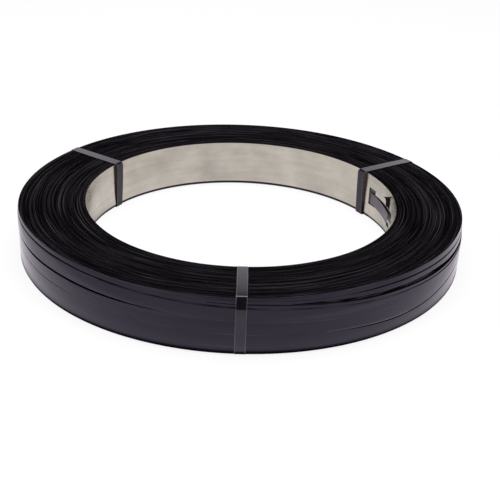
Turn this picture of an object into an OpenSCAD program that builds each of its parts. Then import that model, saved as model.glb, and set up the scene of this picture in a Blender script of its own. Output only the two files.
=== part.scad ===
// Coil of black steel strapping, oscillated wound on a bright steel core ring
// and held by three narrow tie straps. It lies flat, with its axis along +Z.
// The origin is on the axis, in the plane of the ties' undersides.

/* [Winding] */
// Outside diameter of the wound strap
coil_od = 578; // [500:1:640]
// Width of the winding, along the axis
coil_w = 65; // [50:0.5:90]
// Width of the strapping
strap_w = 16; // [13:0.5:19]
// Thickness of the strapping
strap_t = 0.5; // [0.4:0.05:0.8]
// Depth of the slow wave that the traverse leaves on the ends
traverse_wave = 1.6; // [0.5:0.1:2.5]
// Turns from one crest of that wave to the next
traverse_turns = 7; // [5:1:12]
// How far one turn's edge lies from its neighbour's
edge_scatter = 0.7; // [0.3:0.1:1.2]
// Width of the open seams between passes on the outer face
seam_gap = 1.2; // [0.6:0.1:2.0]
// How far the last turn falls short of the upper end
rim_drop = 7; // [2:0.5:9]
// Radial reach of the turns that step down to it
rim_reach = 9; // [3:0.5:14]
// How far the last turn falls short of the lower end
foot_drop = 2.5; // [1:0.5:6]
// Radial reach of the turns that step up to it
foot_reach = 3; // [1:0.5:8]

/* [Core] */
// Inside diameter of the core ring, which sits on the hub of a dispenser
core_id = 406; // [380:1:430]
// Thickness of the core ring
core_t = 1; // [0.6:0.1:2]
// Bare winding below the core ring
core_lift = 4; // [1:0.5:6]
// Winding that stands above the core ring
core_sink = 0.5; // [0:0.5:4]
// Gap between the core ring and the first turn
winding_gap = 0.1; // [0.05:0.05:0.3]

/* [Inner end of the strap] */
// Angle of the window that the strap's inner end comes through
window_angle = 25; // [15:0.5:28]
// Width of the window, round the core
window_w = 17; // [14:0.5:24]
// Height of the window beyond the strap's width
window_room = 9; // [4:0.5:14]
// Length of strap that lies inside the core, past the window
tail_len = 53; // [30:1:60]
// Gap between that end and the core
tail_gap = 0.3; // [0.2:0.05:0.4]
// Drop of the strap's end below the middle of the window
tail_drop = 2; // [0:0.5:4]

/* [Lanced tongue] */
// Angle of the tongue that is cut from the core
tongue_angle = 9.5; // [6:0.5:12]
// Length of the tongue, round the core
tongue_len = 8; // [5:0.5:10]
// Height of the tongue
tongue_h = 14; // [8:0.5:18]
// Slit left round the tongue by the punch
tongue_slit = 1; // [0.6:0.1:1.6]
// How far the tongue's tip stands into the bore
tongue_lift = 0.8; // [0.4:0.05:0.9]
// Height of the small slot that is punched below the strap's end
slot_h = 5.5; // [3:0.5:7]

/* [Ties] */
// Width of the tie straps
tie_w = 13; // [10:0.5:19]
// Thickness of the tie straps
tie_t = 0.5; // [0.4:0.05:0.6]
// Gap between a tie and what it holds
tie_gap = 0.3; // [0.2:0.05:0.35]
// Angle of the front tie
tie_front_angle = -89; // [-110:1:-70]
// Angle of the right tie
tie_right_angle = 33; // [31:1:60]
// Angle of the left tie
tie_left_angle = 149; // [120:1:170]
// Inside radius of a tie's bends at the bore
tie_inner_bend = 0.9; // [0.5:0.1:1]

/* [Hidden] */

$fn = 180;
golden = 0.618034;
bend_steps = 8;
tail_steps = 30;
cut_over = 2;

core_ir = core_id / 2;
core_or = core_ir + core_t;
bore_r = core_or + winding_gap;
coil_r = coil_od / 2;

coil_z0 = tie_gap + tie_t;
coil_z1 = coil_z0 + coil_w;
core_z0 = coil_z0 + core_lift;
core_z1 = coil_z1 - core_sink;
middle_z = (coil_z0 + coil_z1) / 2;

// Turns of strap from the core to the outer face, and the room that each takes
turns = round((coil_r - bore_r) / strap_t);
turn_pitch = (coil_r - bore_r) / turns;

// Passes of strap side by side across the outer face
passes = max(2, floor(coil_w / strap_w));
pass_pitch = coil_w / passes;

window_h = strap_w + window_room;
tail_z = middle_z - tail_drop;

function fraction(x) = x - floor(x);
function arc_deg(length, radius) = length / radius * 180 / PI;
function ease(t) = t * t * (3 - 2 * t);

// How far a turn's edge falls short of the coil's end: the traverse's wave, the scatter
// from turn to turn, and the last turns' steps round an elliptical rim
function wave(i, phase) = traverse_wave * (0.5 - 0.5 * cos(360 * i / traverse_turns + phase));
function scatter(i, phase) = edge_scatter * fraction(i * golden + phase / 360);
function turn_r(i) = bore_r + i * turn_pitch;
function rim_share(i, reach) = min(1, max(0, (turn_r(i + 1) - coil_r + reach) / reach));
function rim(i, drop, reach) = drop * (1 - sqrt(1 - pow(rim_share(i, reach), 2)));
function edge_drop(i, phase, drop, reach) = wave(i, phase) + scatter(i, phase) + rim(i, drop, reach);

// The outer face from the top down: a seam one strap deep between each pass and the next
function seam_z(j) = coil_z1 - j * pass_pitch;
outer_face = [
    for (j = [1 : passes - 1])
        for (p = [[0, 0.5], [-strap_t, 0.5], [-strap_t, -0.5], [0, -0.5]])
            [coil_r + p[0], seam_z(j) + p[1] * seam_gap]
];

top_phase = 0;
bottom_phase = 140;
top_end = [
    for (i = [0 : turns - 1])
        for (k = [0, 1])
            [turn_r(i + k), coil_z1 - edge_drop(i, top_phase, rim_drop, rim_reach)]
];
bottom_end = [
    for (i = [turns - 1 : -1 : 0])
        for (k = [1, 0])
            [turn_r(i + k), coil_z0 + edge_drop(i, bottom_phase, foot_drop, foot_reach)]
];

// The inner end leaves the first turn at one side of the window, crosses the core's wall
// inside the window and then follows the bore
window_half = arc_deg(window_w / 2, core_ir);
tail_start_r = bore_r + strap_t;
tail_end_r = core_ir - tail_gap - strap_t / 2;
tail_sweep = 2 * window_half + arc_deg(tail_len, core_ir);
crossing_share = 2 * window_half / tail_sweep;
function tail_angle(s) = window_angle + window_half - s * tail_sweep;
function tail_r(s) = tail_start_r + (tail_end_r - tail_start_r) * ease(min(1, s / crossing_share));
function tail_side(side) = [
    for (k = [0 : tail_steps])
        let (s = k / tail_steps, r = tail_r(s) + side * strap_t / 2)
            [r * cos(tail_angle(s)), r * sin(tail_angle(s))]
];
function reversed(list) = [for (k = [len(list) - 1 : -1 : 0]) list[k]];

module inner_end() {
    translate([0, 0, tail_z - strap_w / 2])
        linear_extrude(strap_w)
            polygon(concat(tail_side(1), reversed(tail_side(-1))));
}

module strap_coil() {
    color("#26242b") {
        rotate_extrude()
            polygon(concat(top_end, outer_face, bottom_end));
        inner_end();
    }
}

// A rectangle punched through the core's wall, centred at an angle and a height
module punch(angle, z, width, height) {
    rotate([0, 0, angle])
        translate([core_ir - cut_over, -width / 2, z - height / 2])
            cube([core_t + 2 * cut_over, width, height]);
}

tongue_tilt = asin(tongue_lift / tongue_len);
tongue_z = tail_z + strap_w / 2 + tongue_slit + tongue_h / 2;
slot_z = tail_z - strap_w / 2 - slot_h / 2;

// The tongue stays joined to the core at its far edge and leans into the bore
module tongue() {
    rotate([0, 0, tongue_angle])
        translate([core_ir + core_t / 4, (tongue_len + tongue_slit) / 2, tongue_z - tongue_h / 2])
            rotate([0, 0, -tongue_tilt])
                translate([0, -tongue_len, 0])
                    cube([core_t / 2, tongue_len + tongue_slit, tongue_h]);
}

module core_ring() {
    color("#c9c4bb") {
        difference() {
            rotate_extrude()
                translate([core_ir, core_z0])
                    square([core_t, core_z1 - core_z0]);
            punch(window_angle, middle_z, window_w, window_h);
            punch(tongue_angle, tongue_z, tongue_len + tongue_slit, tongue_h + 2 * tongue_slit);
            punch(tongue_angle, slot_z, tongue_len + tongue_slit, slot_h);
        }
        tongue();
    }
}

// A tie's outline round the coil's section, drawn off its inside face by a distance. Its
// bends at the outer face follow the rims that the last turns leave
function bend(x, z, rx, rz, from) = [
    for (k = [0 : bend_steps])
        let (a = from + 90 * k / bend_steps)
            [x + rx * cos(a), z + rz * sin(a)]
];
function tie_outline(off) =
    let (x0 = core_ir - tie_gap + tie_inner_bend,
         z0 = coil_z0 - tie_gap + tie_inner_bend, z1 = coil_z1 + tie_gap - tie_inner_bend,
         ri = tie_inner_bend + off, seat = tie_gap + off)
    concat(
        bend(coil_r - rim_reach, coil_z1 - rim_drop, rim_reach + seat, rim_drop + seat, 0),
        bend(x0, z1, ri, ri, 90),
        bend(x0, z0, ri, ri, 180),
        bend(coil_r - foot_reach, coil_z0 + foot_drop, foot_reach + seat, foot_drop + seat, 270)
    );

module tie_strap(angle) {
    color("#4a4650")
        rotate([90, 0, angle])
            linear_extrude(tie_w, center = true)
                difference() {
                    polygon(tie_outline(tie_t));
                    polygon(tie_outline(0));
                }
}

strap_coil();
core_ring();
tie_strap(tie_front_angle);  // tie_strap_front
tie_strap(tie_right_angle);  // tie_strap_right
tie_strap(tie_left_angle);  // tie_strap_left
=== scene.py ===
import math
import bpy
import numpy as np
from mathutils import Matrix, Vector


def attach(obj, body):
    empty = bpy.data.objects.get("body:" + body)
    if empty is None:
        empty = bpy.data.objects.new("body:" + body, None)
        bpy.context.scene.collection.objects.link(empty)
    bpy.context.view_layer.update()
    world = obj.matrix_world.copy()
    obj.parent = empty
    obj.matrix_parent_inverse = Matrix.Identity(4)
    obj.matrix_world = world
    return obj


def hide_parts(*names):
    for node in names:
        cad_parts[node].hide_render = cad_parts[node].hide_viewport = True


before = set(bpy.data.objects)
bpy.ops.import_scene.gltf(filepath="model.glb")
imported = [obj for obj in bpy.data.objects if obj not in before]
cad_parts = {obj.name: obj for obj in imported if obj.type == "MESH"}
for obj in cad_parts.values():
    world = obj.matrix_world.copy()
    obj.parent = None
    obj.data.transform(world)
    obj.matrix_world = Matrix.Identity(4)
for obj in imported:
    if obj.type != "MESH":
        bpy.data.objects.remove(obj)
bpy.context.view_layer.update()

# Coil of black steel strapping on a bright core ring, with three ties. Sizes are in millimetres
# until a mesh is made. Angles run from +X, and the front of the photograph is at -90 degrees.
mm = 0.001
sharpDeg = 35


# Meshes from grids

# Quads between neighbouring points of a grid; ends closed in pairs across where the grid is a tube
def gridShell(points, closeAlong, closeAcross, lay, caps=False, finish=None):
    nAlong, nAcross = points.shape[:2]
    index = np.arange(nAlong * nAcross).reshape(nAlong, nAcross)
    rows = nAlong if closeAlong else nAlong - 1
    cols = nAcross if closeAcross else nAcross - 1
    i, j = np.meshgrid(np.arange(rows), np.arange(cols), indexing="ij")
    i1, j1 = i + 1, j + 1
    corners = [(i, j), (i1, j), (i1, j1), (i, j1)]
    quads = np.stack([index[a % nAlong, b % nAcross] for a, b in corners], -1).reshape(-1, 4)
    uv = np.stack([lay[a, b] for a, b in corners], -2).reshape(-1, 4, 2)
    mat = np.zeros((rows, cols), int) if finish is None else np.tile(finish, (rows, 1))
    mat = mat.reshape(-1)
    if caps:
        k = np.arange(nAcross // 2 - 1)
        around = [k, k + 1, nAcross - 2 - k, nAcross - 1 - k]
        first = np.stack([index[0, a] for a in around], -1)
        last = np.stack([index[-1, a] for a in around[::-1]], -1)
        firstUv = np.stack([lay[0, a] for a in around], -2)
        lastUv = np.stack([lay[nAlong - 1, a] for a in around[::-1]], -2)
        quads = np.concatenate([quads, first, last])
        uv = np.concatenate([uv, firstUv, lastUv])
        mat = np.concatenate([mat, np.zeros(2 * k.size, int)])
    flat = points.reshape(-1, 3)
    return outward({"points": flat, "quads": quads, "uv": uv, "mat": mat})


# Turns a closed shell the right way out: its signed volume is the sum of its corner tetrahedra
def outward(shell):
    p, q = shell["points"], shell["quads"]
    p0, p1, p2, p3 = (p[q[:, k]] for k in range(4))
    volume = sum(np.einsum("ij,ij->", p0, np.cross(a, b)) for a, b in ((p1, p2), (p2, p3)))
    if volume < 0:
        shell["quads"] = q[:, ::-1]
        shell["uv"] = shell["uv"][:, ::-1]
    return shell


def makePiece(name, shells, materials, replaced=()):
    offsets = np.cumsum([0] + [len(s["points"]) for s in shells[:-1]])
    points = np.concatenate([s["points"] for s in shells]) * mm
    quads = np.concatenate([s["quads"] + o for s, o in zip(shells, offsets)])
    uv = np.concatenate([s["uv"] for s in shells]) * mm
    mat = np.concatenate([s["mat"] for s in shells])
    mesh = bpy.data.meshes.new(name)
    mesh.from_pydata(points, [], quads)
    mesh.uv_layers.new(name="lay").data.foreach_set("uv", uv.reshape(-1).astype(np.float32))
    mesh.polygons.foreach_set("use_smooth", np.ones(len(quads), bool))
    for m in materials:
        mesh.materials.append(m)
    mesh.polygons.foreach_set("material_index", mat.astype(np.int32))
    mesh.update()
    mesh.set_sharp_from_angle(angle=math.radians(sharpDeg))
    piece = bpy.data.objects.new(name, mesh)
    bpy.context.scene.collection.objects.link(piece)
    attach(piece, "root")
    if replaced:
        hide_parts(*replaced)
    print("piece", name, "quads", len(quads))


# Smooth curves and drifts

# A closed row of values, blurred round the loop by a bell curve
def blurLoop(values, step, blur):
    count = len(values)
    waves = np.fft.rfftfreq(count, step)
    soft = np.exp(-2 * (math.pi * blur * waves) ** 2)
    soft = soft.reshape((-1,) + (1,) * (values.ndim - 1))
    return np.fft.irfft(np.fft.rfft(values, axis=0) * soft, count, axis=0)


# A closed curve through angle and value pairs: straight lines between them, blurred round the circle
def smoothLoop(pairs, angles, blur=5.0):
    step = 0.5
    fine = np.arange(720) * step
    degs, values = np.array(pairs, float).T
    line = blurLoop(np.interp(fine, degs, values, period=360), step, blur)
    return np.interp(np.degrees(angles), fine, line, period=360)


# A seeded drift along a path: random knots, so many a turn, joined by ease curves
def drift(seed, knotsPerTurn, turnsAlong, amount):
    t = turnsAlong * knotsPerTurn
    knots = np.random.default_rng(seed).uniform(-1, 1, int(t.max()) + 3)
    k = np.floor(t).astype(int)
    s = t - k
    s = s * s * (3 - 2 * s)
    return amount * (knots[k] * (1 - s) + knots[k + 1] * s)


# Shader helpers

def newMaterial(name):
    m = bpy.data.materials.new(name)
    m.use_nodes = True
    tree = m.node_tree
    return m, tree, tree.nodes["Principled BSDF"]


def addNode(tree, kind, **values):
    node = tree.nodes.new(kind)
    for key, value in values.items():
        setattr(node, key, value)
    return node


def link(tree, a, b):
    tree.links.new(a, b)


# A socket set from another socket or from a plain value
def feed(tree, value, socket):
    if hasattr(value, "is_linked"):
        link(tree, value, socket)
    else:
        socket.default_value = value


# The result of a math node on sockets or numbers
def maths(tree, operation, *values):
    node = addNode(tree, "ShaderNodeMath", operation=operation)
    for value, socket in zip(values, node.inputs):
        feed(tree, value, socket)
    return node.outputs[0]


# The same for vectors; only a length comes out as a number
def vectorMaths(tree, operation, *values):
    node = addNode(tree, "ShaderNodeVectorMath", operation=operation)
    for value, socket in zip(values, node.inputs):
        feed(tree, value, socket)
    return node.outputs["Value" if operation == "LENGTH" else "Vector"]


def splitVector(tree, vector):
    node = addNode(tree, "ShaderNodeSeparateXYZ")
    link(tree, vector, node.inputs[0])
    return node.outputs


# A number between two limits, from a value that runs from start to end
def between(tree, value, low, high, start=0.0, end=1.0):
    node = addNode(tree, "ShaderNodeMapRange")
    given = {"Value": value, "From Min": start, "From Max": end, "To Min": low, "To Max": high}
    for label, each in given.items():
        feed(tree, each, node.inputs[label])
    return node.outputs["Result"]


# A colour between two colours, each a socket or three numbers, from a factor
def blendColors(tree, factor, low, high):
    node = addNode(tree, "ShaderNodeMix", data_type="RGBA")
    link(tree, factor, node.inputs["Factor"])
    for value, socket in ((low, node.inputs[6]), (high, node.inputs[7])):
        feed(tree, (*value, 1) if isinstance(value, tuple) else value, socket)
    return node.outputs[2]


# A colour that runs through stops of place and colour
def throughStops(tree, source, stops):
    ramp = addNode(tree, "ShaderNodeValToRGB")
    link(tree, source, ramp.inputs["Fac"])
    cells = ramp.color_ramp.elements
    for k, (at, color) in enumerate(stops):
        cell = cells[k] if k < 2 else cells.new(at)
        cell.position = at
        cell.color = (*color, 1)
    return ramp.outputs["Color"]


def noise(tree, vector, scale, detail, roughness=0.5):
    node = addNode(tree, "ShaderNodeTexNoise")
    given = {"Vector": vector, "Scale": scale, "Detail": detail, "Roughness": roughness}
    for label, each in given.items():
        feed(tree, each, node.inputs[label])
    return node.outputs["Fac"]


# Fine relief of a surface
def relief(tree, bsdf, height, strength):
    bump = addNode(tree, "ShaderNodeBump")
    bump.inputs["Strength"].default_value = strength
    bump.inputs["Distance"].default_value = 0.0002
    link(tree, height, bump.inputs["Height"])
    link(tree, bump.outputs["Normal"], bsdf.inputs["Normal"])


# A node group with numbers in, each with the value it starts from, and numbers out
def newGroup(name, numbersIn, numbersOut):
    group = bpy.data.node_groups.new(name, "ShaderNodeTree")
    face = group.interface
    for label, start in numbersIn.items():
        face.new_socket(label, in_out="INPUT", socket_type="NodeSocketFloat").default_value = start
    for label in numbersOut:
        face.new_socket(label, in_out="OUTPUT", socket_type="NodeSocketFloat")
    return group, group.nodes.new("NodeGroupInput"), group.nodes.new("NodeGroupOutput")


# A group placed in a material with values of its own
def placeGroup(tree, group, given):
    node = addNode(tree, "ShaderNodeGroup", node_tree=group)
    for label, value in given.items():
        node.inputs[label].default_value = value
    return node.outputs


# Shared effect: long marks that run with the strap, from its own lay map, and clouds in its tone
def strapMarksGroup():
    numbersIn = {"Lengthways": 8.0, "Crossways": 600.0, "Contrast": 0.4}
    group, ins, outs = newGroup("strapMarks", numbersIn, ("Marks", "Clouds"))
    lay = addNode(group, "ShaderNodeUVMap", uv_map="lay")
    split = splitVector(group, lay.outputs["UV"])
    joined = addNode(group, "ShaderNodeCombineXYZ")
    for axis, label in ((0, "Lengthways"), (1, "Crossways")):
        link(group, maths(group, "MULTIPLY", split[axis], ins.outputs[label]), joined.inputs[axis])
    streaks = noise(group, joined.outputs[0], 1.0, 4.0)
    half = maths(group, "MULTIPLY", ins.outputs["Contrast"], 0.5)
    start = maths(group, "SUBTRACT", 0.5, half)
    end = maths(group, "ADD", 0.5, half)
    link(group, between(group, streaks, 0.0, 1.0, start, end), outs.inputs["Marks"])
    place = addNode(group, "ShaderNodeTexCoord")
    link(group, noise(group, place.outputs["Object"], 22.0, 5.0), outs.inputs["Clouds"])
    return group


strapMarks = strapMarksGroup()


def placeMarks(tree, lengthways, crossways, contrast):
    given = {"Lengthways": lengthways, "Crossways": crossways, "Contrast": contrast}
    return placeGroup(tree, strapMarks, given)


# Shared effect: lacquer rubbed off in stretches along a strap's two edges, from its own lay map; the pale
# colour it brings is partly this wear and partly a painted glint on the edges
def rubbedEdgesAndGlintGroup():
    numbersIn = {"Strap Width": 0.016, "Worn": 0.0006, "Cover": 0.0}
    group, ins, outs = newGroup("rubbedEdgesAndGlint", numbersIn, ("Wear",))
    lay = addNode(group, "ShaderNodeUVMap", uv_map="lay")
    split = splitVector(group, lay.outputs["UV"])
    half = maths(group, "MULTIPLY", ins.outputs["Strap Width"], 0.5)
    away = maths(group, "ABSOLUTE", maths(group, "SUBTRACT", split[1], half))
    start = maths(group, "SUBTRACT", half, ins.outputs["Worn"])
    edge = between(group, away, 0.0, 1.0, start, half)
    patches = noise(group, lay.outputs["UV"], 18.0, 3.0)
    covered = maths(group, "ADD", patches, ins.outputs["Cover"])
    stretches = between(group, covered, 0.0, 1.0, 0.42, 0.66)
    link(group, maths(group, "MULTIPLY", edge, stretches), outs.inputs["Wear"])
    return group


rubbedEdgesAndGlint = rubbedEdgesAndGlintGroup()


# Materials

# Each lacquer: the two colours its clouds go between, the two values of its gloss, how fine its marks
# are, its index and tint, and the strap's width and worn edge in millimetres
lacquers = {
    "strapLacquer": {
        "dark": (0.0035, 0.0022, 0.008), "pale": (0.0075, 0.005, 0.0155), "rough": (0.13, 0.24),
        "crossways": 700.0, "ior": 1.5, "tint": (0.92, 0.86, 1.0),
        "width": 16.0, "worn": 0.7, "cover": 0.0,
    },
    "tieLacquer": {
        "dark": (0.003, 0.0025, 0.004), "pale": (0.007, 0.006, 0.009), "rough": (0.15, 0.23),
        "crossways": 900.0, "ior": 1.64, "tint": (0.95, 0.87, 1.0),
        "width": 12.6, "worn": 1.4, "cover": 0.12,
    },
    "endLacquer": {
        "dark": (0.006, 0.005, 0.009), "pale": (0.014, 0.011, 0.018), "rough": (0.2, 0.3),
        "crossways": 700.0, "ior": 2.4, "tint": (0.97, 0.91, 1.0),
        "width": 16.0, "worn": 0.4, "cover": 0.0,
    },
}
lacquerMarks = {"lengthways": 6.0, "contrast": 0.5, "relief": 0.06, "wornAndGlintColor": (0.13, 0.122, 0.14)}


# Lacquer: nearly black, with clouds in its colour, long fine marks in its gloss, and rubbed edges in a
# pale colour that is partly wear and partly a painted glint
def makeLacquer(name):
    v = lacquers[name]
    m, tree, bsdf = newMaterial(name)
    marks = placeMarks(tree, lacquerMarks["lengthways"], v["crossways"], lacquerMarks["contrast"])
    given = {"Strap Width": v["width"] * mm, "Worn": v["worn"] * mm, "Cover": v["cover"]}
    wearAndGlint = placeGroup(tree, rubbedEdgesAndGlint, given)["Wear"]
    whole = blendColors(tree, marks["Clouds"], v["dark"], v["pale"])
    # Partly painted highlight: the pale colour on the rubbed edges stands partly for bare steel and
    # partly for the edges' glints
    link(tree, blendColors(tree, wearAndGlint, whole, lacquerMarks["wornAndGlintColor"]), bsdf.inputs["Base Color"])
    link(tree, between(tree, marks["Marks"], *v["rough"]), bsdf.inputs["Roughness"])
    bsdf.inputs["IOR"].default_value = v["ior"]
    bsdf.inputs["Specular Tint"].default_value = (*v["tint"], 1)
    relief(tree, bsdf, marks["Marks"], lacquerMarks["relief"])
    return m


strapLacquer = makeLacquer("strapLacquer")
tieLacquer = makeLacquer("tieLacquer")
endLacquer = makeLacquer("endLacquer")

# Scales of the streaks along the radius and round the axis, the level where the pale streaks start and
# the one where they are whole, and the colours and roughness of black and pale; the pale streaks are
# partly bare steel and partly painted glints
slit = {
    "marks": (6.0, 0.0, 0.5), "scales": (1300.0, 1.6, 1.6), "detail": 2.0, "roughness": 0.6,
    "marksShare": 0.16, "bareAndGlint": (0.57, 0.83), "shine": 1.5, "anisotropic": 0.8,
    "dark": (0.0026, 0.0023, 0.0028), "bright": (0.075, 0.069, 0.079), "rough": (0.5, 0.36),
}


# Slit edges of the strap: black, with pale streaks along single turns and groups of turns, partly bare
# steel and partly painted glints
def makeSlitEdge():
    m, tree, bsdf = newMaterial("slitEdge")
    marks = placeMarks(tree, *slit["marks"])
    place = addNode(tree, "ShaderNodeTexCoord")
    flat = vectorMaths(tree, "MULTIPLY", place.outputs["Object"], (1, 1, 0))
    towards = splitVector(tree, vectorMaths(tree, "NORMALIZE", flat))
    sources = (vectorMaths(tree, "LENGTH", flat), towards[0], towards[1])
    joined = addNode(tree, "ShaderNodeCombineXYZ")
    for source, scale, socket in zip(sources, slit["scales"], joined.inputs):
        link(tree, maths(tree, "MULTIPLY", source, scale), socket)
    rings = noise(tree, joined.outputs[0], 1.0, slit["detail"], slit["roughness"])
    both = maths(tree, "MULTIPLY_ADD", marks["Marks"], slit["marksShare"], rings)
    bareAndGlint = between(tree, both, 0.0, 1.0, *slit["bareAndGlint"])
    shine = maths(tree, "POWER", bareAndGlint, slit["shine"])
    # Partly painted highlight: the pale streaks in the base colour are partly bare steel and partly
    # glints of the turns
    link(tree, blendColors(tree, shine, slit["dark"], slit["bright"]), bsdf.inputs["Base Color"])
    link(tree, between(tree, bareAndGlint, *slit["rough"]), bsdf.inputs["Roughness"])
    bsdf.inputs["Specular IOR Level"].default_value = 0.0
    bsdf.inputs["Anisotropic"].default_value = slit["anisotropic"]
    aroundAxis = addNode(tree, "ShaderNodeTangent", direction_type="RADIAL", axis="Z")
    link(tree, aroundAxis.outputs["Tangent"], bsdf.inputs["Tangent"])
    return m


slitEdge = makeSlitEdge()

steel = {
    "marks": (40.0, 500.0, 0.6), "grain": (14.0, 130.0, 0.5), "grainShare": 0.5, "clouds": (-0.85, 1.35),
    "dark": (0.655, 0.62, 0.52), "bright": (0.94, 0.90, 0.75), "rough": (0.17, 0.25), "relief": 0.02,
}


# Bright rolled steel: clouded grey with fine rolling marks
def makeCoreSteel():
    m, tree, bsdf = newMaterial("coreSteel")
    marks = placeMarks(tree, *steel["marks"])
    grain = placeMarks(tree, *steel["grain"])
    clouds = between(tree, marks["Clouds"], *steel["clouds"])
    mixed = maths(tree, "MULTIPLY_ADD", grain["Marks"], steel["grainShare"], clouds)
    link(tree, blendColors(tree, mixed, steel["dark"], steel["bright"]), bsdf.inputs["Base Color"])
    bsdf.inputs["Metallic"].default_value = 1.0
    link(tree, between(tree, marks["Marks"], *steel["rough"]), bsdf.inputs["Roughness"])
    relief(tree, bsdf, marks["Marks"], steel["relief"])
    return m


coreSteel = makeCoreSteel()
print("materials done")


# Winding

# The calm values are the width, or the turns, over which an end's unevenness grows and its least share.
# The hidden ones are the slope and the least height of turns that the outer passes cover
winding = {
    "boreR": 204.1, "outerR": 289.0, "lastR": 287.0, "low": 0.8, "high": 65.7,
    "pitch": 0.5, "strapT": 0.46, "segments": 146, "startDeg": 28.0,
    "topSeed": 5, "lowSeed": 11, "proud": 0.7, "proudPower": 6, "sunk": 0.3,
    "scatter": 0.012, "scatterKnots": 2.6, "stepKnots": 0.9, "stepDrift": 1.4,
    "calmRim": (6, 0.15), "calmBore": (5, 0.1), "hiddenFall": 30, "hiddenTop": 8.0,
    "footReach": 1.8, "footDrop": 2.8, "footWidth": 4,
    "layAcross": (0, 65, 65.5, 130.5, 131),
}

# How far the upper rim leans in at each angle, the height that lean takes, and how far the upper
# passes lie behind one another there
rim = {
    "reach": [(-168, 0.9), (-159, 2.7), (-153, 4.7), (-142, 7.6), (-135, 9.1), (-121, 10.7),
              (-111, 11.1), (-100, 11.3), (-90, 11.5), (-80, 11.9), (-69, 11.8), (-58, 11.2),
              (-54, 10.4), (-50.7, 9.6), (-47.5, 8.8), (-43.8, 8.1), (-40, 6.9), (-35.6, 5.6),
              (-30.6, 4.0), (-24.8, 3.2), (-20, 2.5), (-14.7, 1.1), (-8, 0.5), (10, 0.6), (30, 1.8),
              (45, 2.4), (60, 2.3), (90, 2.3), (120, 1.6), (150, 0.6), (180, 0.4)],
    "drop": [(-180, 10), (-162, 12), (-152, 20), (-142, 30), (-130, 35), (-112, 38), (-60, 39.5),
             (-45, 38.5), (-25, 37), (-8, 26), (15, 9)],
    "setBack": [(-172, 0.05), (-160, 0.2), (-148, 0.85), (-135, 1), (-40, 1), (-30, 0.8), (-20, 0.6),
                (-10, 0.4), (10, 0.1), (90, 0.05)],
}


def rimSizes(angles):
    reach = smoothLoop(rim["reach"], angles, 3.0)
    return reach, smoothLoop(rim["drop"], angles, 3.0)


# Outside radius at an angle and a height: the plain radius less a parabola's fall under the upper
# rim and an ellipse's at the foot
def outsideR(angles, z):
    reach, drop = rimSizes(angles)
    up = np.clip((z - winding["high"] + drop) / drop, 0, 1)
    down = np.clip((winding["low"] + winding["footDrop"] - z) / winding["footDrop"], 0, 1)
    return winding["outerR"] - reach * up ** 2 - winding["footReach"] * (1 - np.sqrt(1 - down ** 2))


# How far a turn's edge lies inside the end: a drift along each turn, and single turns that stand
# proud of the rest for a stretch
def endDrop(turn, seed):
    w = winding
    along = w["scatter"] + drift(seed + 1, w["scatterKnots"], turn, w["scatter"])
    step = np.floor(turn + 2 + drift(seed + 2, w["stepKnots"], turn, w["stepDrift"])).astype(int)
    kick = np.random.default_rng(seed + 3).uniform(0, 1, step.max() + 1)[step]
    return along + w["proud"] * (1 - kick ** w["proudPower"])


# One strap edge to edge as wide as the coil, carried along a spiral; its profile has four corners. Its
# edges are calmer near the rim above and near the bore below, and it sinks where the passes cover it
def makeWinding():
    w = winding
    turns = (w["lastR"] - w["boreR"]) / w["pitch"]
    turn = np.linspace(0, turns, int(turns * w["segments"]) + 1)
    angles = math.radians(w["startDeg"]) + 2 * math.pi * turn
    inner = w["boreR"] + w["pitch"] * turn
    outer = inner + w["strapT"]
    reach, drop = rimSizes(angles)
    setBack = passes["setS2"] * smoothLoop(rim["setBack"], angles)
    room = w["outerR"] - passes["behind"] - setBack - outer
    rise = np.sqrt(np.clip(room / reach, 0, 1))
    rimWidth, rimLeast = w["calmRim"]
    topDrop = endDrop(turn, w["topSeed"]) * np.clip(room / rimWidth, rimLeast, 1)
    top = w["high"] - w["sunk"] - topDrop - drop * (1 - rise)
    top = np.maximum(top + w["hiddenFall"] * np.minimum(room, 0), w["hiddenTop"])
    boreTurns, boreLeast = w["calmBore"]
    lowDrop = endDrop(turn, w["lowSeed"]) * np.clip(turn / boreTurns, boreLeast, 1)
    down = np.clip((outer - w["outerR"] + w["footWidth"]) / w["footWidth"], 0, 1)
    bottom = w["low"] + lowDrop + w["footDrop"] * (1 - np.sqrt(1 - down ** 2))
    r = np.stack([inner, inner, outer, outer], 1)
    z = np.stack([bottom, top, top, bottom], 1)
    points = np.stack([r * np.cos(angles)[:, None], r * np.sin(angles)[:, None], z], -1)
    length = np.cumsum(np.r_[0, np.diff(turn)] * 2 * math.pi * inner)
    across = np.array(w["layAcross"])
    lay = np.stack(np.broadcast_arrays(length[:, None], across[None, :]), -1)
    shell = gridShell(points, False, True, lay, caps=True, finish=np.array([0, 1, 0, 1]))
    makePiece("wound_strap", [shell], [strapLacquer, slitEdge], ["strap_coil"])


# Passes of strap on the outer face

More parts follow.
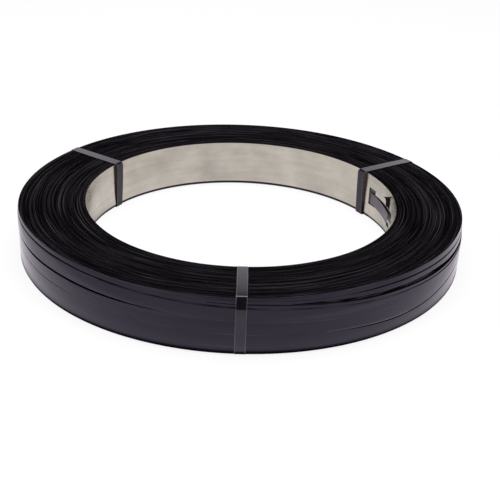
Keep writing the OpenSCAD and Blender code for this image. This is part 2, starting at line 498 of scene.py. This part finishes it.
# Angle and height of each visible edge, above the coil's lower end. P1 to P4 run down the face, P1
# outermost; S0 to S2 stand above P1, each a little behind the last
passes = {
    "depth": 4.5, "depthS2": 2.2, "behind": 1.8, "segments": 300, "blur": 3.0,
    "leastHeight": 0.6, "foot": 0.15, "leastP3": 4, "lapP4": 0.5, "leastP4": 4.0,
    "leastS0": 1.2, "leastS1": 1.5, "leastS2": 1.5, "setRest": 0.2,
    "strapW": 16, "laySide": 1.03, "layShift": (977.0, 311.0),
    "setP1": 0.1, "setP2": 0.65, "setP4": 0.8, "setS0": 1.0, "setS1": 1.4, "setS2": 2.2,
    "topP1": [(-170, 60.2), (-157, 60.3), (-147.5, 59.7), (-141.4, 59.4), (-134.8, 59.2),
              (-127.8, 58.6), (-120, 58.3), (-115, 58.7), (-110, 58.0), (-104, 57.4), (-100, 56.8),
              (-90, 55.3), (-86, 54.5), (-80, 53.6), (-75, 52.6), (-70, 51.2), (-65, 49.3), (-60, 48.1),
              (-54.6, 47.3), (-51.6, 46.9), (-48.4, 46.4), (-44.8, 45.6), (-40.9, 44.6), (-36.3, 44.1),
              (-30.8, 43.9), (-24.8, 43.2), (-18, 44), (0, 48), (30, 52), (60, 54), (90, 55.5),
              (120, 57.5), (150, 59.6)],
    "lowP1": [(-170, 46.4), (-157, 46.8), (-146.3, 46.4), (-140.2, 46.2), (-133.7, 46.2),
              (-126.9, 45.7), (-119.4, 44.9), (-115, 44.5), (-110, 44.3), (-106, 43.7), (-100, 42.3),
              (-90, 41.0), (-84, 40.1), (-75, 38.2), (-65, 36.2), (-60, 35.3), (-50, 32.8), (-41, 31.4),
              (-33, 32.3), (-26, 33.6), (-19, 35), (0, 36), (30, 37), (60, 38.5), (90, 40), (120, 42),
              (150, 45)],
    "topP2": [(-170, 43.2), (-157, 43.4), (-146.5, 43.1), (-140.3, 43.2), (-133.8, 43.3), (-127, 42.9),
              (-119.4, 42.4), (-115, 42.5), (-110, 43.2), (-106, 44.1), (-100, 43.4), (-90, 42.0),
              (-75, 39.4), (-60, 37.1), (-50, 35), (-41, 34.5), (-33, 37), (-26, 40), (-19, 42),
              (0, 44), (30, 44.5), (60, 44.2), (90, 43.8), (120, 43.5), (150, 44)],
    "lowP2": [(-170, 28.2), (-157, 28.4), (-146.6, 28.5), (-140.3, 28.8), (-133.6, 28.6),
              (-126.8, 28.3), (-119.2, 27.8), (-110, 27.6), (-100, 26.5), (-90, 25.3), (-80, 24.1),
              (-70, 21.7), (-60, 20.0), (-53, 18.0), (-44, 18.0), (-39, 19.4), (-33, 22.0), (-26, 24.8),
              (-19, 27.6), (-10, 29.5), (0, 30), (30, 29.5), (60, 28), (90, 27), (120, 27),
              (150, 27.8)],
    "gapP3": [(-170, 0.8), (-150, 0.7), (-133, 0.7), (-124, 0.05), (-72, 0.05), (-64, 1.0), (-50, 1.4),
              (-25, 1.5), (0, 1.2), (60, 0.4), (120, 0.5)],
    "lowP3": [(-170, 12.0), (-148, 12.6), (-118, 11.5), (-110, 11.3), (-100, 10.3), (-90, 9.1),
              (-80, 8.2), (-70, 6.1), (-60, 4.5), (-50, 2.6), (-44, 2.4), (-39, 3.6), (-33, 6),
              (-26, 8.8), (-19, 11.2), (0, 13), (30, 13), (60, 12), (90, 11), (120, 11), (150, 11.5)],
    "lowS0": [(-172, 61.5), (-157, 61.5), (-147, 60.9), (-141, 60.6), (-134.5, 60.3), (-128, 59.7),
              (-121, 59.3), (-116, 59.0), (-108, 54.8), (-90, 48.6), (-60, 41.5), (-31, 38), (0, 42),
              (60, 46), (90, 48), (120, 52), (150, 58.5)],
    "topS0": [(-170, 63.8), (-140, 63.4), (-120, 61.9), (-90, 58.7), (-80, 57.3), (-74, 55.6),
              (-69, 53.8), (-65, 52.2), (-61, 51.0), (-57, 50.4), (-54.4, 50.2), (-51.3, 49.6),
              (-48.1, 49.1), (-44.5, 48.4), (-40.5, 47.6), (-36, 47.1), (-30.5, 46.5), (-24.5, 45.7),
              (-18, 46.5), (0, 51), (30, 55), (60, 58.5), (90, 60), (120, 61.5), (150, 63)],
    "lowS1": [(-172, 61.6), (-162, 61.9), (-141, 61.8), (-132, 61.1), (-121, 59.9), (-100, 56.4),
              (-82, 55.9), (-77, 57.2), (-74, 57.8), (-69, 57.0), (-65, 55.5), (-61, 54.9), (-57, 54.0),
              (-54.2, 53.5), (-51.1, 53.3), (-47.8, 53.5), (-44.2, 53.2), (-40.3, 53.0), (-35.8, 52.4),
              (-30.4, 51.3), (-24.3, 50.1), (-18, 51), (0, 55), (30, 57.5), (60, 59), (90, 59.5),
              (120, 60), (150, 61)],
    "topS1": [(-172, 64.2), (-140, 63.9), (-122, 63.6), (-113, 62.9), (-106, 62.5), (-100, 62.2),
              (-95, 61.7), (-90, 61.4), (-86, 60.7), (-80, 59.8), (-69, 59.2), (-65, 58.6), (-61, 58.2),
              (-54, 58.0), (-51, 57.7), (-47.6, 57.7), (-44, 57.3), (-40, 57.3), (-35.6, 56.9),
              (-30.3, 56.8), (-24.4, 56.1), (-18, 56.5), (0, 59), (30, 61), (60, 61.8), (90, 62.6),
              (120, 63.4), (150, 64.0)],
    "gapS2": [(-170, -3), (-72, -3), (-66, 0.4), (-60, 0.8), (-52, 1.2), (-25, 1.2), (-15, 0.6),
              (0, -3), (90, -3)],
    "topS2": [(-170, 64.5), (-152, 64.2), (-132, 63.8), (-111, 63.9), (-79, 63.8), (-58, 63.7),
              (-42, 63.5), (-27, 63.8), (-15, 64.6), (10, 64.5), (90, 64.5)],
}


# A thick band between two edges, lying so far behind the outside, with eased corners and slit edges
def band(top, low, behind, angles, depth):
    p = passes
    across = np.array([0, 0.01, 0.17, 0.33, 0.5, 0.67, 0.83, 0.99, 1.0])
    ease = np.array([0.14, 0.02, 0, 0, 0, 0, 0, 0.02, 0.14])
    height = low[:, None] + np.maximum(top - low, p["leastHeight"])[:, None] * across
    z = winding["low"] + height
    wide = np.broadcast_to(angles[:, None], z.shape)
    face = outsideR(wide, z) - np.broadcast_to(behind, angles.shape)[:, None]
    r = np.concatenate([face - ease, (face - depth)[:, ::-1]], 1)
    bothZ = np.concatenate([z, z[:, ::-1]], 1)
    points = np.stack([r * np.cos(angles)[:, None], r * np.sin(angles)[:, None], bothZ], -1)
    length = np.r_[angles, angles[0] + 2 * math.pi] * winding["outerR"]
    span = np.r_[across, p["laySide"] + across, 2 * p["laySide"]] * p["strapW"]
    lay = np.stack(np.broadcast_arrays(length[:, None], span[None, :]), -1)
    shift = p["layShift"][0] * np.mean(behind) + p["layShift"][1] * low[0]
    lay = lay + np.array([shift, 0])
    finish = np.zeros(2 * across.size, int)
    finish[[across.size - 1, 2 * across.size - 1]] = 1
    return gridShell(points, True, True, lay, finish=finish)


def makePasses():
    p = passes
    angles = np.linspace(-math.pi, math.pi, p["segments"], endpoint=False)
    edge = {k: smoothLoop(v, angles, p["blur"]) for k, v in p.items() if isinstance(v, list)}
    setBack = smoothLoop(rim["setBack"], angles)
    foot = np.full(angles.size, p["foot"])
    topP3 = edge["lowP2"] - edge["gapP3"]
    lowP3 = np.minimum(edge["lowP3"], edge["lowP2"] - p["leastP3"])
    topP4 = np.maximum(edge["lowP3"] + p["lapP4"], p["leastP4"])
    lowS0 = np.minimum(edge["lowS0"], edge["topS0"] - p["leastS0"])
    lowS1 = np.minimum(edge["lowS1"], edge["topS1"] - p["leastS1"])
    lowS2 = np.minimum(edge["topS1"] + edge["gapS2"], edge["topS2"] - p["leastS2"])
    setS0, setS1, setS2 = (p[k] * setBack + p["setRest"] for k in ("setS0", "setS1", "setS2"))
    rows = [
        (edge["topP1"], edge["lowP1"], p["setP1"], p["depth"]),
        (edge["topP2"], edge["lowP2"], p["setP2"], p["depth"]),
        (topP3, lowP3, p["setP2"], p["depth"]),
        (topP4, foot, p["setP4"], p["depth"]),
        (edge["topS0"], lowS0, setS0, p["depth"]),
        (edge["topS1"], lowS1, setS1, p["depth"]),
        (edge["topS2"], lowS2, setS2, p["depthS2"]),
    ]
    bands = [band(top, low, behind, angles, depth) for top, low, behind, depth in rows]
    makePiece("outer_passes", bands, [strapLacquer, slitEdge])


makeWinding()
makePasses()


# Core ring

# A hole is its two angles and two heights; a wave of the dent is its share, waves a turn, slant, shift
core = {
    "innerR": 203.0, "wall": 1.0, "low": 4.8, "high": 65.3, "steps": 240, "rows": 13, "clearDeg": 0.5,
    "window": (22.6, 27.4, 22.0, 47.0), "tongueHole": (8.0, 10.5, 41.0, 57.0),
    "slot": (7.4, 10.8, 14.2, 20.8),
    "dent": 0.12, "dentWaves": ((1.0, 5, 0.06, 0.0), (0.7, 13, -0.11, 1.0)),
    "tongueReach": (3.4, 7.2), "reachPower": 6, "tongueT": 0.7, "tongueGap": (1.0, 0.6),
    "tongueRoot": 0.5, "tongueCurl": 2.2, "curlShare": (0.4, 0.6), "tongueGrid": (7, 9), "tongueShadeCells": 11,
}


# A wall between two radii on a grid of cells, with cells left out, and rims wherever a cell ends
def wallWithHoles(angles, heights, keep, innerR, outerR):
    nA, nZ = angles.size, heights.size
    wide, tall = np.meshgrid(angles, heights, indexing="ij")
    ring = np.stack([np.cos(wide), np.sin(wide)], -1)
    inner = np.concatenate([ring * innerR[..., None], tall[..., None]], -1)
    outer = np.concatenate([ring * outerR[..., None], tall[..., None]], -1)
    points = np.concatenate([inner.reshape(-1, 3), outer.reshape(-1, 3)])
    index = np.arange(nA * nZ).reshape(nA, nZ)
    far = nA * nZ
    i, j = np.nonzero(keep)
    i1, j1 = (i + 1) % nA, j + 1
    a, b, c, d = index[i, j], index[i1, j], index[i1, j1], index[i, j1]
    quads = [np.stack([d, c, b, a], -1), np.stack([a, b, c, d], -1) + far]
    padded = np.pad(keep, ((0, 0), (1, 1)))
    sides = (
        (~np.roll(keep, 1, 0), d, a), (~np.roll(keep, -1, 0), b, c),
        (~padded[:, :-2], a, b), (~padded[:, 2:], c, d),
    )
    for opened, p, q in sides:
        at = opened[i, j]
        quads.append(np.stack([p[at], q[at], q[at] + far, p[at] + far], -1))
    topRim = len(heights) - 2 == j[~padded[:, 2:][i, j]]
    mat = np.zeros(sum(len(k) for k in quads), int)
    mat[mat.size - topRim.size:] = topRim
    quads = np.concatenate(quads)
    used, quads = np.unique(quads, return_inverse=True)
    quads = quads.reshape(-1, 4)
    points = points[used]
    along = np.arctan2(points[:, 1], points[:, 0]) * core["innerR"]
    lay = np.stack([along, points[:, 2]], -1)[quads]
    turnLength = 2 * math.pi * core["innerR"]
    wrap = (lay[..., 0].max(1) - lay[..., 0].min(1)) > turnLength / 2
    lay[..., 0] += np.where(wrap[:, None] & (lay[..., 0] < 0), turnLength, 0)
    return outward({"points": points, "quads": quads, "uv": lay, "mat": mat})


def insideBox(wide, tall, hole):
    return (wide > hole[0]) & (wide < hole[1]) & (tall > hole[2]) & (tall < hole[3])


# The tongue: a thin plate from the hole's edge into the bore, longer at its top, a little curled. Its
# side over the hole, its top edge and the upper part of its other side have the slit edges' dark finish
# as painted shade on the steel tongue
def tongueShell():
    c = core
    edgeDeg, lowest, highest = c["tongueHole"][1:]
    a0 = math.radians(edgeDeg)
    z0, z1 = lowest + c["tongueGap"][0], highest - c["tongueGap"][1]
    s, t = np.meshgrid(*(np.linspace(0, 1, count) for count in c["tongueGrid"]), indexing="ij")
    least, most = c["tongueReach"]
    reach = least + (most - least) * t ** c["reachPower"]
    r = c["innerR"] + c["tongueRoot"] - s * reach
    along = c["tongueCurl"] * s ** 2 * (c["curlShare"][0] + c["curlShare"][1] * t)
    z = z0 + (z1 - z0) * t
    sides = []
    for half in (-0.5, 0.5):
        off = along + half * c["tongueT"]
        x = r * math.cos(a0) - off * math.sin(a0)
        y = r * math.sin(a0) + off * math.cos(a0)
        sides.append(np.stack([x, y, z], -1))
    tube = np.concatenate([sides[0], sides[1][:, ::-1]], 1)
    rows, cols = tube.shape[:2]
    lay = np.stack(np.meshgrid(np.arange(rows + 1.0), np.arange(cols + 1.0), indexing="ij"), -1)
    # Painted shade: these first cells round the steel tongue take the black slit-edge finish
    finish = np.zeros(cols, int)
    finish[:c["tongueShadeCells"]] = 1
    return gridShell(tube, False, True, lay, caps=True, finish=finish)


def makeCore():
    holes = [core["window"], core["tongueHole"], core["slot"]]
    plain = np.linspace(-180, 180, core["steps"], endpoint=False)
    edges = np.array([h[k] for h in holes for k in (0, 1)])
    near = np.abs(plain[:, None] - edges[None, :]).min(1) < core["clearDeg"]
    degs = np.unique(np.r_[plain[~near], edges])
    levels = np.linspace(core["low"], core["high"], core["rows"])
    heights = np.unique(np.r_[levels, [h[k] for h in holes for k in (2, 3)]])
    nextDeg = np.r_[degs[1:], degs[0] + 360]
    midA, midZ = np.meshgrid((degs + nextDeg) / 2, (heights[1:] + heights[:-1]) / 2, indexing="ij")
    keep = ~np.logical_or.reduce([insideBox(midA, midZ, h) for h in holes])
    angles = np.radians(degs)
    wide, tall = np.meshgrid(angles, heights, indexing="ij")
    waves = (share * np.sin(count * wide + slant * tall + shift)
             for share, count, slant, shift in core["dentWaves"])
    innerR = core["innerR"] + core["dent"] * sum(waves)
    shells = [wallWithHoles(angles, heights, keep, innerR, innerR + core["wall"]), tongueShell()]
    makePiece("core_ring_dressed", shells, [coreSteel, slitEdge], ["core_ring"])


makeCore()


# A flat strap carried along a path: eight-point section, eased at its edges
def strapAlong(path, across, thick, width, closed):
    offW = np.array([-1, -0.985, 0.985, 1, 1, 0.985, -0.985, -1]) * (width / 2)
    offT = np.array([0.25, 0.5, 0.5, 0.25, -0.25, -0.5, -0.5, -0.25])
    sideways = across[:, None, :] * offW[None, :, None]
    through = thick[:, None, :] * offT[None, :, None]
    points = path[:, None, :] + sideways + through
    ends = np.concatenate([path, path[:1] if closed else path[-1:]])
    length = np.r_[0, np.cumsum(np.linalg.norm(np.diff(ends, axis=0), axis=1))]
    side = np.array([0, 0.2, width - 0.2, width])
    span = np.r_[side, side + width + 0.5, 2 * width + 1]
    lay = np.stack(np.broadcast_arrays(length[:, None], span[None, :]), -1)
    return gridShell(points, closed, True, lay, caps=not closed)


# Inner end of the strap

strapEnd = {
    "width": 16.0, "thickness": 0.5, "fromDeg": 29.5, "windowDeg": (28.0, 24.6), "toDeg": 7.4,
    "outerR": 204.55, "innerR": 202.2, "z": (33.0, 28.2), "fallPower": 1.3,
    "lift": 2.0, "liftDeg": 24, "samples": 61,
}


# Path in plan: out of the first turn, through the window on an ease curve, then along the bore
def makeStrapEnd():
    e = strapEnd
    deg = np.linspace(e["fromDeg"], e["toDeg"], e["samples"])
    s = np.clip((e["windowDeg"][0] - deg) / (e["windowDeg"][0] - e["windowDeg"][1]), 0, 1)
    r = e["outerR"] + (e["innerR"] - e["outerR"]) * s * s * (3 - 2 * s)
    r = r - e["lift"] * np.clip((e["liftDeg"] - deg) / (e["liftDeg"] - e["toDeg"]), 0, 1)
    a = np.radians(deg)
    share = (e["fromDeg"] - deg) / (e["fromDeg"] - e["toDeg"])
    z = e["z"][0] + (e["z"][1] - e["z"][0]) * share ** e["fallPower"]
    path = np.stack([r * np.cos(a), r * np.sin(a), z], -1)
    tangent = np.gradient(path, axis=0)
    tangent /= np.linalg.norm(tangent, axis=1, keepdims=True)
    outwards = np.stack([np.cos(a), np.sin(a), 0 * a], -1)
    across = np.cross(tangent, outwards)
    across /= np.linalg.norm(across, axis=1, keepdims=True)
    thick = np.cross(across, tangent) * e["thickness"]
    shell = strapAlong(path, across, thick, e["width"], False)
    makePiece("strap_inner_end", [shell], [endLacquer])


makeStrapEnd()


# Ties

# Each tie: its name, its angle at the outer face and at the bore, how far its inner run stands off
# the core's wall at the top and at the bottom, the bow of its upper run, a further fall at the rim, and
# the upper run's twist in degrees at the rim and at the bore. Of the slope over the rim, the crest is so
# far in and down, and the corner and the start are a drop and a further share of the rim's reach
tie = {
    "width": 12.6, "thickness": 0.5, "seat": 0.55, "lift": 0.1, "sink": 0.02,
    "innerBend": 4.0, "footBend": 5.0, "lowBend": 1.0, "lowEnd": 3.0, "boreBow": 0.5,
    "crest": (0.6, 0.2), "corner": (1.6, 0.72), "start": (2.2, 1.06), "easeShare": 0.4, "easeSteps": 9,
    "landing": 1.6, "runStart": 4.5, "runSteps": 31, "rimPower": 9, "boreSteps": 8,
    "dense": 1200, "soften": 0.8, "leastTurn": 0.004, "samples": 170, "twistFade": (2.0, 6.0),
    "places": (("front", -89.2, -88.8, 2.2, 1.0, 0.6, 0.3, 0, 0),
               ("right", 32.7, 32.5, 3.8, 1.8, 0.25, 0, -1.2, 2.0),
               ("left", 147.9, 149.5, 3.2, 0.2, 0.2, 0, -0.6, -1.6)),
}


# An arc of an ellipse in the plane of radius and height
def arc(centreR, centreZ, alongR, alongZ, fromDeg, toDeg, count=14):
    a = np.radians(np.linspace(fromDeg, toDeg, count))
    return np.stack([centreR + alongR * np.cos(a), centreZ + alongZ * np.sin(a)], -1)


# Loop round the section: under, up the outer face, over the rim, in, and down the bore off its wall.
# Where the rim leans in, the strap bridges it in a slope that is eased at its foot; its upper run is a
# little bowed
def tieLoop(angle, offTop, offLow, bow, rimFall):
    w, t = winding, tie
    reach = float(rimSizes(np.array([angle]))[0][0])
    outR = w["outerR"] + t["seat"]
    topZ = w["high"] + t["seat"] + t["lift"]
    lowZ = w["low"] - t["seat"]
    boreR = core["innerR"] - t["seat"]
    bend, foot, toe = t["innerBend"], t["footBend"], t["lowBend"]
    crest = np.array([outR - reach - t["crest"][0], topZ - t["crest"][1]])
    corner = np.array([outR, topZ - t["corner"][0] - t["corner"][1] * reach])
    start = np.array([outR, topZ - t["start"][0] - t["start"][1] * reach])
    end = corner + t["easeShare"] * (crest - corner)
    s = np.linspace(0, 1, t["easeSteps"])[:, None]
    eased = (1 - s) ** 2 * start + 2 * s * (1 - s) * corner + s ** 2 * end
    slope = np.concatenate([eased, [crest, [outR - reach - t["landing"], topZ]]])
    down = np.linspace(topZ - bend, lowZ + t["lowEnd"], t["boreSteps"])
    fallen = (topZ - down) / (topZ - lowZ)
    off = offTop + (offLow - offTop) * fallen + t["boreBow"] * np.sin(math.pi * fallen)
    across = np.linspace(outR - reach - t["runStart"], boreR - off[0] + bend, t["runSteps"])
    spot = np.linspace(-1, 1, t["runSteps"])
    bowed = topZ - t["sink"] - bow * spot ** 2 - rimFall * np.clip(-spot, 0, 1) ** t["rimPower"]
    return np.concatenate([
        np.array([[boreR - offLow + toe, lowZ]]),
        arc(outR - foot, lowZ + foot, foot, foot, -90, 0),
        slope,
        np.stack([across, bowed], -1)[:-1],
        arc(across[-1], bowed[-1] - bend, bend, bend, 90, 180)[:-1],
        np.stack([boreR - off, down], -1),
        arc(boreR - offLow + toe, lowZ + toe, toe, toe, 180, 270, 6)[:-1],
    ])


# The same loop softened, with its points closer together where it bends
def respaced(loop):
    t, count = tie, tie["dense"]
    closed = np.concatenate([loop, loop[:1]])
    run = np.r_[0, np.cumsum(np.linalg.norm(np.diff(closed, axis=0), axis=1))]
    even = np.linspace(0, run[-1], count, endpoint=False)
    dense = np.stack([np.interp(even, run, closed[:, k]) for k in (0, 1)], -1)
    dense = blurLoop(dense, run[-1] / count, t["soften"])
    ahead = np.roll(dense, -1, 0) - np.roll(dense, 1, 0)
    turn = np.unwrap(np.arctan2(ahead[:, 1], ahead[:, 0]))
    grow = np.r_[0, np.cumsum(np.abs(np.gradient(turn)) + t["leastTurn"])]
    spots = np.arange(count + 1)
    pick = np.interp(np.linspace(0, grow[-1], t["samples"], endpoint=False), grow, spots)
    around = np.concatenate([dense, dense[:1]])
    return np.stack([np.interp(pick, spots, around[:, k]) for k in (0, 1)], -1)


# The loop's angle goes from the one at the outer face to the one at the bore with its radius. Its upper
# run is twisted, and lowered so that its higher edge comes no higher
def makeTie(label, outerDeg, innerDeg, offTop, offLow, bow, rimFall, twistRim, twistBore):
    loop = respaced(tieLoop(math.radians(outerDeg), offTop, offLow, bow, rimFall))
    share = np.clip((winding["outerR"] - loop[:, 0]) / (winding["outerR"] - core["innerR"]), 0, 1)
    angle = np.radians(outerDeg + (innerDeg - outerDeg) * share)[:, None]
    radial = np.concatenate([np.cos(angle), np.sin(angle), 0 * angle], 1)
    across = np.concatenate([-np.sin(angle), np.cos(angle), 0 * angle], 1)
    up = np.array([0.0, 0.0, 1.0])
    ahead = np.roll(loop, -1, 0) - np.roll(loop, 1, 0)
    ahead /= np.linalg.norm(ahead, axis=1, keepdims=True)
    path = loop[:, :1] * radial + loop[:, 1:] * up
    outwards = ahead[:, 1:] * radial - ahead[:, :1] * up
    below = loop[:, 1].max() - loop[:, 1]
    fade = tie["twistFade"]
    level = np.clip((fade[1] - below) / (fade[1] - fade[0]), 0, 1)
    twist = (np.radians(twistRim + (twistBore - twistRim) * share) * level)[:, None]
    path = path - up * np.abs(np.sin(twist)) * tie["width"] / 2
    turned = across * np.cos(twist) + outwards * np.sin(twist)
    thick = (outwards * np.cos(twist) - across * np.sin(twist)) * tie["thickness"]
    shell = strapAlong(path, turned, thick, tie["width"], True)
    node = "tie_strap_" + label
    makePiece("tie_" + label + "_dressed", [shell], [tieLacquer], [node])


for place in tie["places"]:
    makeTie(*place)
print("ties done")


# Stage, light and camera

stage = {
    "floorSize": 8.0, "floorZ": -0.0004, "floorGlow": 0.87, "floorTone": 0.18, "floorPlain": 0.8,
    # The glow the coil mirrors, by distance from the axis: a painted contact shadow, near black under the
    # coil up to just past its foot
    "mirrorInside": [(0.0, 0.5), (0.385, 0.5), (0.41, 0.02)],
    "mirrorOutside": [(0.576, 0.02), (0.582, 0.66), (0.59, 0.84), (0.605, 0.78), (0.625, 0.66),
                      (0.66, 0.65), (0.7, 0.7), (0.84, 0.6), (1.0, 0.58)],
    "tintInside": (1.0, 0.955, 1.02), "tintOutside": (1.0, 0.942, 1.03),
    "mirrorLevel": 1.2, "mirrorOval": 0.972, "mirrorSides": 3.4, "mirrorRange": 0.25, "mirrorScale": 2.0,
    "skyFront": [(0.0, 0.8), (0.4, 0.8), (0.47, 0.68), (0.61, 0.15), (0.68, 0.03)],
    "skyBack": [(0.0, 1.5), (0.12, 1.25), (0.25, 1.05), (0.36, 0.95), (0.45, 0.88), (0.53, 0.45),
                (0.66, 0.05)],
    "skyTurn": (-0.1, 0.4), "skyScale": 2.0, "tintSky": (1.0, 0.95, 1.02),
    "lampPower": 40.0, "lampSize": 2.4, "lampHeight": 2.2,
}


# 1 for camera, glossy and transmission rays
def lookingRay(tree, path):
    first = maths(tree, "MAXIMUM", path.outputs["Is Camera Ray"], path.outputs["Is Glossy Ray"])
    return maths(tree, "MAXIMUM", first, path.outputs["Is Transmission Ray"])


def diffuse(tree, tone):
    node = addNode(tree, "ShaderNodeBsdfDiffuse")
    node.inputs["Color"].default_value = (tone, tone, tone, 1)
    return node.outputs[0]


def mixShaders(tree, factor, first, second):
    node = addNode(tree, "ShaderNodeMixShader")
    for source, socket in zip((factor, first, second), node.inputs):
        link(tree, source, socket)
    return node.outputs[0]


# The floor as the coil mirrors it: a painted glow in rings round the coil, brighter to both sides, with a
# painted contact shadow, near black under the coil out to its foot and rising within a few millimetres
# outside it, and half as bright inside the bore
def mirrorGlowAndShadow(tree):
    place = addNode(tree, "ShaderNodeTexCoord").outputs["Object"]
    oval = vectorMaths(tree, "MULTIPLY", place, (1.0, stage["mirrorOval"], 1.0))
    away = maths(tree, "MULTIPLY", vectorMaths(tree, "LENGTH", oval), stage["mirrorScale"])
    rings = ((stage["mirrorInside"], stage["tintInside"]), (stage["mirrorOutside"], stage["tintOutside"]))
    stops = [(at, tuple(level * c for c in tint)) for levels, tint in rings for at, level in levels]
    sideways = splitVector(tree, place)["X"]
    square = maths(tree, "MULTIPLY", sideways, sideways)
    low, far = stage["mirrorLevel"], stage["mirrorRange"]
    node = addNode(tree, "ShaderNodeEmission")
    link(tree, throughStops(tree, away, stops), node.inputs["Color"])
    strength = between(tree, square, low, low * (1 + far * stage["mirrorSides"]), 0.0, far)
    link(tree, strength, node.inputs["Strength"])
    return node.outputs[0]


# Floor: white with the object's shadow to the camera, and a painted glow round the coil in its
# reflections, with a painted contact shadow at the coil's foot
def makeFloor():
    half = stage["floorSize"] / 2
    mesh = bpy.data.meshes.new("floor")
    corners = [(-half, -half), (half, -half), (half, half), (-half, half)]
    mesh.from_pydata([(x, y, stage["floorZ"]) for x, y in corners], [], [(0, 1, 2, 3)])
    floor = bpy.data.objects.new("floor", mesh)
    bpy.context.scene.collection.objects.link(floor)
    m, tree, bsdf = newMaterial("floorWhite")
    tree.nodes.remove(bsdf)
    glow = addNode(tree, "ShaderNodeEmission")
    glow.inputs["Strength"].default_value = stage["floorGlow"]
    white = addNode(tree, "ShaderNodeAddShader")
    link(tree, diffuse(tree, stage["floorTone"]), white.inputs[0])
    link(tree, glow.outputs[0], white.inputs[1])
    path = addNode(tree, "ShaderNodeLightPath")
    seen = mixShaders(tree, path.outputs["Is Glossy Ray"], white.outputs[0], mirrorGlowAndShadow(tree))
    surface = mixShaders(tree, lookingRay(tree, path), diffuse(tree, stage["floorPlain"]), seen)
    link(tree, surface, tree.nodes["Material Output"].inputs["Surface"])
    mesh.materials.append(m)


# Sky: bright near the horizon under a dark ceiling, with levels of its own behind the coil, and plain
# white straight to the camera
def makeSky():
    world = bpy.data.worlds.new("studio")
    bpy.context.scene.world = world
    world.use_nodes = True
    tree = world.node_tree
    place = addNode(tree, "ShaderNodeTexCoord")
    split = splitVector(tree, place.outputs["Generated"])
    turn = between(tree, split["Y"], 0.0, 1.0, *stage["skyTurn"])
    scale = stage["skyScale"]
    skies = []
    for levels in (stage["skyFront"], stage["skyBack"]):
        greys = [(at, (level / scale,) * 3) for at, level in levels]
        skies.append(throughStops(tree, split["Z"], greys))
    tint = tuple(scale * c for c in stage["tintSky"])
    tinted = vectorMaths(tree, "MULTIPLY", blendColors(tree, turn, *skies), tint)
    path = addNode(tree, "ShaderNodeLightPath")
    seen = blendColors(tree, path.outputs["Is Camera Ray"], tinted, (1, 1, 1))
    link(tree, seen, tree.nodes["Background"].inputs["Color"])


def makeLamp():
    data = bpy.data.lights.new("topLamp", "AREA")
    data.shape = "DISK"
    data.size = stage["lampSize"]
    data.energy = stage["lampPower"]
    lamp = bpy.data.objects.new("topLamp", data)
    lamp.location = (0, 0, stage["lampHeight"])
    lamp.visible_glossy = False
    bpy.context.scene.collection.objects.link(lamp)


# Camera: place and turn in the row's frame, focal length in image widths
view = {
    "away": 1233.59, "height": 591.91, "pitch": 0.45574, "yaw": 0.01142, "roll": -0.04035,
    "focal": 2.0333, "sensor": 36.0,
}


def makeCamera():
    pitch, yaw, roll = view["pitch"], view["yaw"], view["roll"]
    ahead = Vector((math.sin(yaw) * math.cos(pitch), math.cos(yaw) * math.cos(pitch), -math.sin(pitch)))
    right = ahead.cross(Vector((0, 0, 1))).normalized()
    down = ahead.cross(right)
    c, s = math.cos(roll), math.sin(roll)
    rightTurned = c * right + s * down
    downTurned = -s * right + c * down
    data = bpy.data.cameras.new("camera")
    data.sensor_width = view["sensor"]
    data.lens = view["sensor"] * view["focal"]
    camera = bpy.data.objects.new("camera", data)
    turn = Matrix((rightTurned, -downTurned, -ahead)).transposed().to_4x4()
    camera.matrix_world = Matrix.Translation((0, -view["away"] * mm, view["height"] * mm)) @ turn
    bpy.context.scene.collection.objects.link(camera)
    bpy.context.scene.camera = camera


makeFloor()
makeSky()
makeLamp()
makeCamera()
bpy.context.scene.view_settings.view_transform = "Standard"
print("stage done")

bpy.context.view_layer.update()
